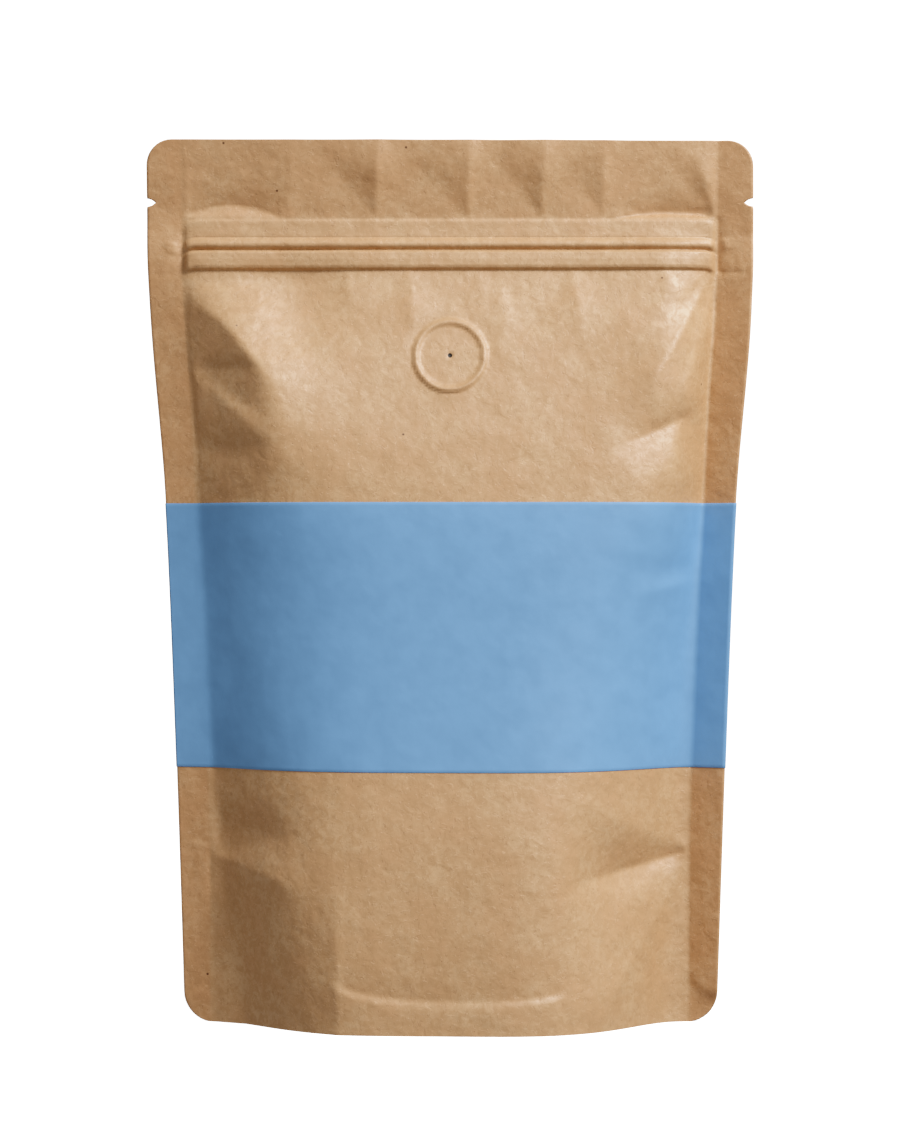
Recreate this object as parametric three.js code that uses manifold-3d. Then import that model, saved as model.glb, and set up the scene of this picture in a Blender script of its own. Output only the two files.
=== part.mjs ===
// A stand-up coffee pouch of kraft paper laminate, filled and shut, with a coloured band round its middle.
// Millimetres, +Z up. The origin is on the floor under the middle of the pouch, and its front faces -Y.
import * as THREE from "three";
import { mergeVertices } from "three/addons/utils/BufferGeometryUtils.js";
import Module from "manifold-3d";

// ---------------------------------------------------------------- driving dimensions

const HEIGHT = 230; // floor to top edge
const FILM = 1.0; // front and back film together, where they are sealed to each other
const TOP_RADIUS = 6.5; // rounded corners of the flat outline
const BOTTOM_RADIUS = 7.6;

// Curves up the height, as [z, value] stations.
const EDGE = [
  [0, 69.3], [84, 72.1], [136, 74.4], [188, 78.6], [203, 79.1], [230, 78.9],
]; // from the middle to the side edges
const SEAM = [
  [0, 62.3], [43, 62.4], [69, 63.2], [109, 64.8], [136, 66.3], [162, 67.5], [197, 69.8], [230, 69.8],
]; // from the middle to the side seams
const DEPTH = [
  [0, 28.2], [16, 28.3], [45, 26.6], [68, 24.0], [100, 20.8], [136, 17.7], [150, 16.0], [160, 13.6],
  [174, 9.4], [184, 6.1], [190, 4.1], [196.6, 2.3], [205, 0.9], [210, 0.4], [230, 0.1],
]; // how far each panel bulges from the middle plane

// A level section of a panel is depth * (1 - u^boxy)^pull, with u from 0 at the middle to 1 at the seam.
// One half of a panel is the slack one, and the other is drawn tighter round the contents.
// `blend` is how widely the form is rounded where it meets the flat triangles at the seam.
const SLACK = {
  blend: [[136, 5.0], [165, 3.5], [172, 1.0], [196, 0.4]],
  boxy: [[0, 4.2], [30, 4.6], [60, 3.7], [100, 3.0], [136, 4.2], [150, 7], [160, 12], [185, 14], [230, 14]],
  pull: [[0, 2.4], [30, 2.0], [60, 1.5], [100, 1.15], [136, 1.15], [150, 1.1], [160, 1.0], [230, 1.0]],
  flank: 0.55, // slope beside the seam under the bend at the bottom
};
const TIGHT = {
  blend: [[136, 3.0], [150, 4.0], [165, 6.0], [185, 4.0], [196, 1.0]],
  boxy: [[0, 4.0], [30, 3.6], [60, 3.6], [92, 3.8], [112, 5.5], [136, 11], [148, 13], [160, 14], [230, 16]],
  pull: [[0, 2.5], [30, 2.2], [60, 1.9], [100, 1.7], [136, 1.3], [150, 1.15], [160, 1.0], [230, 1.0]],
  flank: 0.2,
};
const FLANK = { reach: 8, top: 52, fade: 10, round: 1 };

// The contents push up into both corners under the zip: [z, height] up the middle of each swelling.
const EARS = [
  {
    x: -55,
    spread: 22,
    rise: [
      [120, 0], [140, 0.3], [150, 1.6], [160, 3.6], [170, 4.8], [177, 4.0], [184, 2.2], [190, 0],
      [194, -1.0], [196.6, -0.8], [206, 0],
    ],
  },
  {
    x: 57,
    spread: 17,
    rise: [
      [120, 0], [140, 0.2], [150, 1.0], [160, 2.0], [168, 2.5], [177, 2.8], [184, 2.8], [190, 2.6],
      [196.6, 2.2], [205, 1.0], [212, 0],
    ],
  },
];

// Beside the seams the film buckles into flat triangles. Each plane rises from the seam with slope
// `in` and by `down` for each millimetre under z, and `round` is the width of the corners between them.
const SLACK_FACETS = {
  top: { in: 0.73, down: 0, z: 170.5 },
  second: { in: 0.55, down: 0.33, z: 170.5 },
  third: { in: 0.86, down: 0, z: 149.5 },
  fourth: { in: 0.8, down: 0.34, z: 149.5 },
  round: 0.5,
};
const TIGHT_FACETS = {
  top: { in: 0.85, down: 0, z: 159.5 },
  second: { in: 0.7, down: 0.65, z: 159.5 },
  side: { in: 1.9, down: 0, z: 159.5 },
  round: 0.6,
  sideRound: 1.5,
};
const FACETS_LIFT = 0.3; // they start this far off the seam
const FACETS_FROM = 112; // they fade in over this stretch
const FACETS_FULL = 136;

// The left fin leans back and the right fin leans forward, up to a height where the lean has faded out.
const FIN_LEAN = {
  left: { slope: -Math.tan(THREE.MathUtils.degToRad(15)), top: 206, fade: 26 },
  right: { slope: Math.tan(THREE.MathUtils.degToRad(22)), top: 206, fade: 12 },
};
// The sealed top leans forward over the zip, and a little more at its left end.
const HEADER_LEAN = { slope: 0.13, twist: 0.05, half: 70, round: 3 };
// At the zip's right end the film stands back.
const RECESS = { depth: 1.4, z: 195, tall: 13, from: 40, to: 70 };

// Tear notches in both edges. Their flanks bend at a share of the depth and of the height.
const NOTCH = { z: 214, depth: 2.3, height: 2.4, flank: 0.8, bluntness: 0.2 };

// Profile of the press-to-close strip shut inside the film, as [z, rise]: two ribs under a flat flange.
const ZIP = [
  [196.2, 0], [196.9, 0.95], [197.8, 1.35], [199.4, 1.45], [200.9, 1.3], [201.6, 0.15], [202.5, 1.15],
  [203.4, 1.38], [204.3, 0.9], [204.9, 0.3], [205.2, 0.44], [209.2, 0.36], [209.8, 0],
];
const ZIP_BOTTOM = ZIP[0][0];
const ZIP_TOP = ZIP[ZIP.length - 1][0];

// Over both ends of the flange the film falls to an arched line.
const HOLLOWS = [
  { from: -71, to: -44, arch: 3.6, depth: 1.4, reach: 5 },
  { from: 43, to: 71, arch: 1.6, depth: 0.9, reach: 3.6 },
];

// Folds that open like a cone from their tips, as [x0, z0, x1, z1, rise per mm, width to the right per mm,
// width to the left per mm, share of the length over which they fade].
const PLEATS = [
  [-27, 197, -25.5, 184, 0.09, 0.8, 0.7, 0.75], [-10.8, 197.2, -8.5, 170, 0.12, 1.0, 0.8, 0.75],
  [7.5, 197.2, 9.5, 178, 0.06, 0.9, 0.8, 0.75], [13, 192, 16, 168, 0.06, 0.8, 0.7, 0.75],
  [32, 197.2, 35.5, 172, 0.13, 1.1, 0.95, 0.75], [56, 197, 57.5, 187, 0.12, 0.9, 0.8, 0.75],
  [69.5, 197, 43, 150, 0.06, 0.2, 0.26, 0.75], [-19.3, 210.4, -18.5, 238, 0.18, 0.95, 0.8, 0.75],
  [4.6, 210.4, 5.5, 238, 0.155, 1.15, 0.5, 0.75], [23.8, 210.4, 25, 238, 0.19, 0.9, 0.85, 0.75],
  [40, 210.4, 40.5, 240, 0.1, 0.7, 0.4, 0.75], [69.3, 211, 60.5, 233, 0.14, 0.9, 0.4, 0.75],
  [-42, 209.8, -40.5, 240, 0.05, 0.8, 0.8, 0.75], [63.5, 44.8, 27, 36.3, -0.2, 0.62, 0.66, 0.55],
  [-63.5, 44.4, -36, 36, 0.15, 0.6, 0.7, 0.6], [64, 46, 34, -4, 0.045, 0.3, 0.3, 0.35],
];
const PLEAT_CREST = 0.35; // radius of their crests
const TOP_FADE = 1.5; // the back follows the front from this far over the zip
const SEAM_FADE = 3; // all folds fade out this far from the seams

// Sharp folds as { from, to, height, left, right }, with the widths on either side of the line.
const FOLDS = [
  { from: [-29, 44], to: [-28.3, -14], height: 1.0, left: 6, right: 3.5, fade: 0.5, end: 0.01 },
  { from: [65, 115.5], to: [45, 111], height: 0.5, left: 3, right: 3, fade: 0.3, end: 0.5 },
  { from: [-68, 170.7], to: [-45, 170.2], height: -1.5, left: 2.6, right: 8, fade: 0.3, end: 0.5 },
  { from: [-67, 149.8], to: [-42, 149.6], height: -1.2, left: 3.2, right: 8, fade: 0.3, end: 0.6 },
  { from: [67, 160.2], to: [40, 148], height: -3.6, left: 15, right: 5, fade: 0.3, end: 0.6 },
];
const FOLD_ROUND = 0.5; // radius at the line of a sharp fold
const DENTS = [
  { x: -53, z: 50.5, rx: 11, rz: 5.5, height: -1.8 },
  { x: -56, z: 90, rx: 5, rz: 10, height: -0.5 },
  { x: 56, z: 118, rx: 8, rz: 3, height: -0.4 },
];

const VALVE = {
  z: 173.6,
  depth: 9.5, // of the flat film round it
  slope: 0.31,
  flat: 13, // radius of that flat, which blends into the panel over the next width
  blend: 4,
  radius: 9.7,
  ring: 1.6,
  rise: 0.75,
  disc: 0.15,
  pinhole: 1.3,
};

const BAND = { bottom: 66.5, top: 135.5, thickness: 0.35, gap: 0.3 };

const GUSSET = {
  skirt: 8.6, // height of the curved seal over the floor, at the middle
  corner: 43.5, // height of the fold where it meets the side seams
  bend: 30, // distance from the middle where the seal turns up
  steep: 1.03, // slope of the seal out from there
  round: 6,
  curl: { left: 0.0025, right: 0.0006 }, // it rises a little from the middle to the bend
  step: 0.65, // the panel is drawn in over the seal, which fades upwards, downwards and at both ends
  stepUp: 6,
  stepDown: 2.2,
  stepEnd: 31,
  stepFade: 5,
  wall: 1.0,
  sag: 0.7, // how deep the web hangs, as a share of its free height
  reach: 58, // the pocket under the web ends here
  sunk: -0.6, // the web's flat middle lies on the floor
};

// ---------------------------------------------------------------- small functions

// A smooth curve through [z, value] stations that never overshoots them.
function curve(stations, z) {
  const last = stations.length - 1;
  const at = THREE.MathUtils.clamp(z, stations[0][0], stations[last][0]);
  let i = 0;
  while (i < last - 1 && at >= stations[i + 1][0]) i += 1;
  const slope = (k) => (stations[k + 1][1] - stations[k][1]) / (stations[k + 1][0] - stations[k][0]);
  const tangent = (k) => {
    if (k === 0) return slope(0);
    if (k === last) return slope(last - 1);
    const [below, above] = [slope(k - 1), slope(k)];
    return below * above <= 0 ? 0 : (2 * below * above) / (below + above);
  };
  const step = stations[i + 1][0] - stations[i][0];
  const t = (at - stations[i][0]) / step;
  return (
    (2 * t ** 3 - 3 * t ** 2 + 1) * stations[i][1] +
    (t ** 3 - 2 * t ** 2 + t) * step * tangent(i) +
    (-2 * t ** 3 + 3 * t ** 2) * stations[i + 1][1] +
    (t ** 3 - t ** 2) * step * tangent(i + 1)
  );
}

const smooth = (t) => THREE.MathUtils.smoothstep(t, 0, 1);

// The lesser or greater of two heights, with the corner between them rounded over a width.
function lesser(a, b, width) {
  const share = THREE.MathUtils.clamp(0.5 + (b - a) / (2 * width), 0, 1);
  return THREE.MathUtils.lerp(b, a, share) - width * share * (1 - share);
}
const greater = (a, b, width) => -lesser(-a, -b, width);

// A round swelling or dent with radii rx and rz.
function swell(px, pz, { x, z, rx, rz, height }) {
  return height * Math.exp(-(((px - x) / rx) ** 2) - ((pz - z) / rz) ** 2);
}

// Where a point lies by a line: its share of the way along, and its distance to the right.
function byLine(x, z, x0, z0, x1, z1) {
  const [dx, dz] = [x1 - x0, z1 - z0];
  const length = Math.hypot(dx, dz);
  const along = ((x - x0) * dx + (z - z0) * dz) / length ** 2;
  return { along, off: ((x - x0) * dz - (z - z0) * dx) / length };
}

// A fold that opens like a cone: its height and its widths grow in step with the way from its tip.
function pleat(x, z, [x0, z0, x1, z1, steep, right, left, fade]) {
  const { along, off } = byLine(x, z, x0, z0, x1, z1);
  const way = THREE.MathUtils.clamp(along, 0, 1) * Math.hypot(x1 - x0, z1 - z0);
  const width = Math.max(way * (off > 0 ? right : left), PLEAT_CREST);
  const away = Math.min(1, (Math.hypot(off, PLEAT_CREST) - PLEAT_CREST) / width);
  return steep * way * smooth((1 - along) / fade) * (1 - away) ** 1.5;
}

// A sharp fold, whose height falls off exponentially on both sides of its line.
function fold(x, z, { from, to, height, left, right, fade, end }) {
  const { along, off } = byLine(x, z, ...from, ...to);
  const away = (Math.hypot(off, FOLD_ROUND) - FOLD_ROUND) / (off > 0 ? right : left);
  return height * smooth(along / fade) * smooth((1 - along) / end) * Math.exp(-away);
}

// ---------------------------------------------------------------- the panels

// Height of the curved seal that joins the bottom web to a panel.
function sealHeight(x) {
  const out = GUSSET.steep * (Math.abs(x) - GUSSET.bend);
  const curl = x < 0 ? GUSSET.curl.left : GUSSET.curl.right;
  const rise = curl * Math.min(Math.abs(x), GUSSET.bend) ** 2;
  return GUSSET.skirt + rise + (out + Math.hypot(out, GUSSET.round)) / 2;
}

// Over the seal the panel is drawn in, and it steps back out at the skirt.
function sealStep(x, z) {
  const over = z - sealHeight(x);
  const share = over > 0 ? Math.exp(-over / GUSSET.stepUp) : smooth(1 + over / GUSSET.stepDown);
  return -GUSSET.step * smooth((GUSSET.stepEnd - Math.abs(x)) / GUSSET.stepFade) * share;
}

function zipRelief(z) {
  if (z <= ZIP_BOTTOM || z >= ZIP_TOP) return 0;
  const next = ZIP.findIndex(([at]) => at > z);
  const [[from, low], [to, high]] = [ZIP[next - 1], ZIP[next]];
  return THREE.MathUtils.lerp(low, high, (z - from) / (to - from));
}

// The arched hollows over both ends of the flange.
function hollow(x, z, { from, to, arch, depth, reach }) {
  const share = THREE.MathUtils.clamp((x - from) / (to - from), 0, 1);
  const bow = 4 * share * (1 - share);
  if (bow === 0) return 0;
  const over = z - ZIP_TOP - arch * bow;
  const fall = over > 0 ? Math.exp(-over / reach) : smooth((z - ZIP_TOP) / (arch * bow));
  return -depth * bow * fall;
}

// How far the film's own middle stands in front of the middle plane, at the fins and in the sealed top.
function lean(x, z) {
  const out = Math.max(0, Math.abs(x) - curve(SEAM, z));
  const { slope, top, fade } = x < 0 ? FIN_LEAN.left : FIN_LEAN.right;
  const twisted = HEADER_LEAN.slope - (HEADER_LEAN.twist * x) / HEADER_LEAN.half;
  const header = twisted * greater(z - ZIP_TOP, 0, HEADER_LEAN.round);
  const back = RECESS.depth * Math.exp(-(((z - RECESS.z) / RECESS.tall) ** 2));
  const behind = back * smooth((x - RECESS.from) / (RECESS.to - RECESS.from));
  return out * slope * smooth((top - z) / fade) + header - behind;
}

// The flat triangles beside a seam, with `from` measured inwards from it.
function buckled(from, z, slack) {
  const plane = ({ in: slope, down, z: level }) => slope * from + down * (level - z);
  const { top, second, third, fourth, side, round, sideRound } = slack ? SLACK_FACETS : TIGHT_FACETS;
  if (!slack) return lesser(greater(plane(top), plane(second), round), plane(side), sideRound);
  const lower = greater(plane(third), plane(fourth), round);
  return greater(plane(top), lesser(plane(second), lower, round), round);
}

// The filled form of a panel, before its folds and dents.
function body(x, z) {
  const seam = curve(SEAM, z);
  const slack = x < 0;
  const u = Math.min(1, Math.abs(x) / seam);
  const { boxy, pull, blend, flank } = slack ? SLACK : TIGHT;
  const ear = ({ x: centre, spread, rise }) => curve(rise, z) * Math.exp(-(((x - centre) / spread) ** 2));
  const depth = curve(DEPTH, z) + ear(EARS[0]) + ear(EARS[1]);
  const inwards = Math.max(0, seam - Math.abs(x));
  const low = flank * Math.min(inwards, FLANK.reach) * smooth((FLANK.top - z) / FLANK.fade);
  const round = greater(depth * (1 - u ** curve(boxy, z)) ** curve(pull, z), low, FLANK.round);
  const facets = buckled(inwards, z, slack) + FACETS_LIFT;
  const folded = Math.max(0, lesser(round, facets, curve(blend, z)));
  return THREE.MathUtils.lerp(round, folded, smooth((z - FACETS_FROM) / (FACETS_FULL - FACETS_FROM)));
}

// 1 in the sealed top over the zip, and 0 under it.
const inTop = (z) => smooth((z - ZIP_TOP) / TOP_FADE);

function folds(x, z) {
  const sum = (list, height) => list.reduce((total, item) => total + height(x, z, item), 0);
  return sum(PLEATS, pleat) + sum(FOLDS, fold) + sum(DENTS, swell) + sum(HOLLOWS, hollow) + sealStep(x, z);
}

// How far a panel stands off the film's own middle.
function bulge(x, z) {
  const inside = smooth((curve(SEAM, z) - Math.abs(x)) / SEAM_FADE);
  return body(x, z) + inside * (folds(x, z) + zipRelief(z));
}

// Round the valve the front panel is flat and tilts up.
function frontBulge(x, z) {
  const from = Math.hypot(x, z - VALVE.z);
  const flat = VALVE.depth + VALVE.slope * (VALVE.z - z);
  return THREE.MathUtils.lerp(bulge(x, z), flat, smooth((VALVE.flat - from) / VALVE.blend));
}

const frontY = (x, z) => -FILM / 2 - lean(x, z) - frontBulge(x, z);
// The back panel is the same form turned round, and its sealed top follows the front's waves.
function backY(x, z) {
  return FILM / 2 - lean(x, z) + THREE.MathUtils.lerp(bulge(-x, z), -bulge(x, z), inTop(z));
}

// ---------------------------------------------------------------- meshes and solids

const wasm = await Module();
wasm.setup();

function solidOf(geometry) {
  const bare = geometry.clone();
  bare.deleteAttribute("normal");
  bare.deleteAttribute("uv");
  const merged = mergeVertices(bare, 1e-4);
  return new wasm.Manifold(
    new wasm.Mesh({
      numProp: 3,
      vertProperties: new Float32Array(merged.attributes.position.array),
      triVerts: new Uint32Array(merged.index.array),
    }),
  );
}

function geometryOf(solid) {
  const mesh = solid.getMesh();
  const points = new Float32Array(mesh.numVert * 3);
  for (let i = 0; i < mesh.numVert; i += 1) {
    points.set(mesh.vertProperties.subarray(i * mesh.numProp, i * mesh.numProp + 3), i * 3);
  }
  const geometry = new THREE.BufferGeometry();
  geometry.setAttribute("position", new THREE.BufferAttribute(points, 3));
  geometry.setIndex(new THREE.BufferAttribute(mesh.triVerts, 1));
  geometry.computeVertexNormals();
  return geometry;
}

// A closed solid from loops of equally many points, carried from the first loop to the last.
// In a ring the last loop joins the first.
function loft(loops, { ring = false } = {}) {
  const count = loops[0].length;
  const points = loops.flat();
  const faces = [];
  const quad = (a, b, c, d) => faces.push(a, b, c, a, c, d);
  const spans = ring ? loops.length : loops.length - 1;
  for (let i = 0; i < spans; i += 1) {
    const next = (i + 1) % loops.length;
    for (let j = 0; j < count; j += 1) {
      const k = (j + 1) % count;
      quad(i * count + j, i * count + k, next * count + k, next * count + j);
    }
  }
  if (!ring) {
    const lastLoop = (loops.length - 1) * count;
    // Both ends are strips between the two halves of the loop.
    for (let j = 0; j < count / 2 - 1; j += 1) {
      const k = count - 1 - j;
      quad(j, k, k - 1, j + 1);
      quad(lastLoop + j, lastLoop + j + 1, lastLoop + k - 1, lastLoop + k);
    }
  }
  const geometry = new THREE.BufferGeometry();
  geometry.setAttribute("position", new THREE.Float32BufferAttribute(points.flat(), 3));
  geometry.setIndex(faces);
  return geometry;
}

// ---------------------------------------------------------------- grid lines

const CELLS_ACROSS = 34;
const BAND_CELLS = 9;
const CROWDING = 1.2; // radians of the sine that crowds the grid lines towards both ends
const EDGE_SPARE = 1.5; // the grid runs past the outline, which trims it

// Positions from -reach to reach, closer together towards both ends.
function crowded(reach) {
  return Array.from({ length: CELLS_ACROSS + 1 }, (_, i) => {
    const even = (2 * i) / CELLS_ACROSS - 1;
    return (reach * Math.sin(even * CROWDING)) / Math.sin(CROWDING);
  });
}

// x of each grid line across the pouch at height z.
function gridAcross(z, outer) {
  const seam = curve(SEAM, z);
  const middle = (seam + outer) / 2;
  return [-outer, -middle, ...crowded(seam), middle, outer];
}

function gridUp(stops) {
  const rows = [];
  for (const [from, to, cells] of stops) {
    for (let i = 0; i < cells; i += 1) rows.push(from + ((to - from) * i) / cells);
  }
  rows.push(stops[stops.length - 1][1]);
  return rows;
}

// The rows of the grid, as [from, to, cells], with a row at each corner of the zip's profile.
const POUCH_ROWS = gridUp([
  [0, 30, 6],
  [30, BAND.bottom, 6],
  [BAND.bottom, BAND.top, BAND_CELLS],
  [BAND.top, 190, 10],
  [190, ZIP_BOTTOM, 2],
  ...ZIP.slice(1).map(([z], i) => [ZIP[i][0], z, 1]),
  [ZIP_TOP, HEIGHT, 5],
]);

// ---------------------------------------------------------------- the pouch

const STEEPEST = 1.9; // a clearance along y is at most this many times the one across the film

// The level loop round the film at height z: front from left to right, then back from right to left.
// It can stand clear of the film by an offset.
function level(z, outer, offset = 0) {
  const across = gridAcross(z, outer);
  const stand = (side, x) => {
    const tilt = side(x + 0.5, z) - side(x - 0.5, z);
    return offset * Math.min(STEEPEST, Math.hypot(1, tilt));
  };
  const front = across.map((x) => [x, frontY(x, z) - stand(frontY, x), z]);
  const back = across.map((x) => [x, backY(x, z) + stand(backY, x), z]).reverse();
  return [...front, ...back];
}

function filledFilm() {
  return loft(POUCH_ROWS.map((z) => level(z, curve(EDGE, z) + EDGE_SPARE)));
}

const CORNER_CELLS = 5;
const EDGE_CELL = 6; // length of one straight piece of the side edges

// The flat outline: side edges, rounded corners, tear notches, and a step as deep as the band is thick.
function outline() {
  const edgeAt = (z, inset = 0) => [curve(EDGE, z) - inset, z];
  const run = (from, to, cells, inset) =>
    Array.from({ length: cells + 1 }, (_, i) => edgeAt(THREE.MathUtils.lerp(from, to, i / cells), inset));
  const corner = (x, z, radius, from) =>
    Array.from({ length: CORNER_CELLS + 1 }, (_, i) => {
      const turn = THREE.MathUtils.degToRad(from + (90 * i) / CORNER_CELLS);
      return [x + radius * Math.cos(turn), z + radius * Math.sin(turn)];
    });
  const step = BAND.thickness + BAND.gap;
  const bandFrom = BAND.bottom - BAND.gap;
  const bandTo = BAND.top + BAND.gap;
  const low = NOTCH.z - NOTCH.height / 2;
  const high = NOTCH.z + NOTCH.height / 2;
  const shoulder = NOTCH.height * NOTCH.bluntness;
  const half = [
    ...corner(curve(EDGE, BOTTOM_RADIUS) - BOTTOM_RADIUS, BOTTOM_RADIUS, BOTTOM_RADIUS, -90),
    ...run(BOTTOM_RADIUS + EDGE_CELL, bandFrom, 8),
    ...run(bandFrom, bandTo, 8, step),
    ...run(bandTo, low, 9),
    edgeAt(NOTCH.z - shoulder, NOTCH.depth * NOTCH.flank),
    edgeAt(NOTCH.z, NOTCH.depth),
    edgeAt(NOTCH.z + shoulder, NOTCH.depth * NOTCH.flank),
    edgeAt(high),
    ...corner(curve(EDGE, HEIGHT) - TOP_RADIUS, HEIGHT - TOP_RADIUS, TOP_RADIUS, 0),
  ];
  const whole = [...half, ...half.map(([x, z]) => [-x, z]).reverse()];
  return new THREE.Shape(whole.map(([x, z]) => new THREE.Vector2(x, z)));
}

const BLOCK_SPARE = 40;

function outlineBlock() {
  const deep = 2 * DEPTH[0][1] + BLOCK_SPARE;
  const block = new THREE.ExtrudeGeometry(outline(), { depth: deep, bevelEnabled: false });
  block.rotateX(Math.PI / 2);
  block.translate(0, deep / 2, 0);
  return block;
}

const WEB_CELLS = 12;
const WEB_FLAT = 0.5; // this share of the web's depth is level, and the rest turns up to the panels
const UNDER_FLOOR = -1;

// The open space under the bottom web, between the two skirts.
function basePocket() {
  const section = (x) => {
    const seal = sealHeight(x);
    const free = Math.max(0, GUSSET.corner - seal);
    const middle = Math.max(GUSSET.sunk, seal - GUSSET.sag * free);
    const between = (z, share) =>
      THREE.MathUtils.lerp(frontY(x, z) + GUSSET.wall, backY(x, z) - GUSSET.wall, share);
    const bottom = [];
    const web = [];
    for (let j = 0; j <= WEB_CELLS; j += 1) {
      const share = j / WEB_CELLS;
      const out = Math.max(0, Math.abs(2 * share - 1) - WEB_FLAT) / (1 - WEB_FLAT);
      bottom.push([x, between(0, share), UNDER_FLOOR]);
      web.push([x, between(seal, share), THREE.MathUtils.lerp(middle, seal, out ** 2)]);
    }
    return [...bottom, ...web.reverse()];
  };
  return loft(crowded(GUSSET.reach).map(section));
}

const VALVE_ROOT = 2; // the valve's solid starts this deep under the film
const VALVE_SIDES = 32;
const RING_CELLS = 6;
const PINHOLE = { length: 1.6, sides: 12 };

// The degassing valve's rim and disc, pressed through the film, on the tilted flat round it.
function valve() {
  const profile = [[0, -VALVE_ROOT], [VALVE.radius, -VALVE_ROOT], [VALVE.radius, 0]];
  for (let i = 1; i < RING_CELLS; i += 1) {
    const turn = (Math.PI * i) / RING_CELLS;
    const radius = VALVE.radius - (VALVE.ring / 2) * (1 - Math.cos(turn));
    profile.push([radius, VALVE.rise * Math.sin(turn) + (VALVE.disc * i) / RING_CELLS]);
  }
  profile.push([VALVE.radius - VALVE.ring, VALVE.disc], [0, VALVE.disc]);
  return onPanel(new THREE.LatheGeometry(profile.map(([r, h]) => new THREE.Vector2(r, h)), VALVE_SIDES));
}

function pinhole() {
  const radius = VALVE.pinhole / 2;
  return onPanel(new THREE.CylinderGeometry(radius, radius, PINHOLE.length, PINHOLE.sides));
}

// Turns a piece made round +Y so that its axis stands out of the front panel at the valve.
function onPanel(geometry) {
  const out = new THREE.Vector3(0, -1, VALVE.slope).normalize();
  geometry.applyQuaternion(new THREE.Quaternion().setFromUnitVectors(new THREE.Vector3(0, 1, 0), out));
  geometry.translate(0, frontY(0, VALVE.z), VALVE.z);
  return geometry;
}

function pouch() {
  const film = solidOf(filledFilm()).intersect(solidOf(outlineBlock()));
  const standing = film.subtract(solidOf(basePocket()));
  const shaped = standing.add(solidOf(valve())).subtract(solidOf(pinhole()));
  return new THREE.Mesh(geometryOf(shaped), KRAFT);
}

// ---------------------------------------------------------------- the band

// A thin ring round the pouch. Its section through the thickness is carried round each level.
function band() {
  const rows = gridUp([[BAND.bottom, BAND.top, BAND_CELLS]]);
  const inset = BAND.thickness + BAND.gap;
  const inner = rows.map((z) => level(z, curve(EDGE, z) - inset + BAND.gap, BAND.gap));
  const outer = rows.map((z) => level(z, curve(EDGE, z), inset));
  const loops = [];
  for (let j = 0; j < inner[0].length; j += 1) {
    loops.push([...inner.map((row) => row[j]), ...outer.map((row) => row[j]).reverse()]);
  }
  const made = solidOf(loft(loops, { ring: true }));
  return new THREE.Mesh(geometryOf(made), BLUE);
}

// ---------------------------------------------------------------- the part

const KRAFT = new THREE.MeshStandardMaterial({ color: 0xb89673, roughness: 0.85, metalness: 0 });
const BLUE = new THREE.MeshStandardMaterial({ color: 0x739bc0, roughness: 0.75, metalness: 0 });

const bag = new THREE.Group();
const pieces = { pouch: pouch(), band: band() };
for (const [name, mesh] of Object.entries(pieces)) {
  mesh.name = name;
  bag.add(mesh);
}

export default bag;
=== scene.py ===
"""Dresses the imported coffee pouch: panels, bottom gusset, band, their finishes, floor, light and camera.

Heights and distances on the film are millimetres in the part's own frame, and become metres in the mesh.
A panel is a height field: how far the film stands off the middle plane at x across and z up.
"""

import math

import bpy
import numpy as np
from bpy.props import FloatProperty, FloatVectorProperty, PointerProperty
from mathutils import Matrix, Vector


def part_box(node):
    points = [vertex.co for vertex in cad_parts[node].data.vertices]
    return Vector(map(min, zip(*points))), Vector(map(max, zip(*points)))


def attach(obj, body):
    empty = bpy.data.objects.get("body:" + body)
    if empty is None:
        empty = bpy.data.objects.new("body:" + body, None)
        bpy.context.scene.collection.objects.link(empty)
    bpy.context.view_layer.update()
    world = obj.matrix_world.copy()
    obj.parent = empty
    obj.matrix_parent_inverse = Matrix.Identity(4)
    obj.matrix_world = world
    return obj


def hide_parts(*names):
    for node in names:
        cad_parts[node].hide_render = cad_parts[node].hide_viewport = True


bl_info = {
    "name": "Coffee Pouch",
    "version": (1, 0, 0),
    "blender": (4, 5, 0),
    "location": "View3D > Sidebar > Pouch",
    "description": "Builds a filled stand-up coffee pouch of kraft paper with a coloured band",
    "category": "Add Mesh",
}

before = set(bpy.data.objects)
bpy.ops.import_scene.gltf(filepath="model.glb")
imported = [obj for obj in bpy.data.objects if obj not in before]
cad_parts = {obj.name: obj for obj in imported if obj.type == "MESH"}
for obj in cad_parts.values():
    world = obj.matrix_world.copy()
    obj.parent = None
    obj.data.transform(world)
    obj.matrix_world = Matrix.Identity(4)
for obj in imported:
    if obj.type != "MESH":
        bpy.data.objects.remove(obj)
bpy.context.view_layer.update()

MM = 0.001


def box_mm(node):
    """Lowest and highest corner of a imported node, in millimetres."""
    low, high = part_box(node)
    return np.array(low) / MM, np.array(high) / MM


HEIGHT = box_mm("pouch")[1][2]
BAND_BOTTOM, BAND_TOP = box_mm("band")[0][2], box_mm("band")[1][2]

# ------------------------------------------------------------------ sizes of the film, in millimetres

FILM = 0.5  # front and back film together, where they are sealed to each other
FILM_EDGE = 0.15  # how far the film's edge is rounded outwards
RIM_OVERLAP = 0.02  # how far the front panel's rim reaches past the back panel
TOP_RADIUS = 6.5
BOTTOM_RADIUS = 7.6
NOTCH = {"z": 214.0, "depth": 2.3, "height": 2.4}

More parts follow.
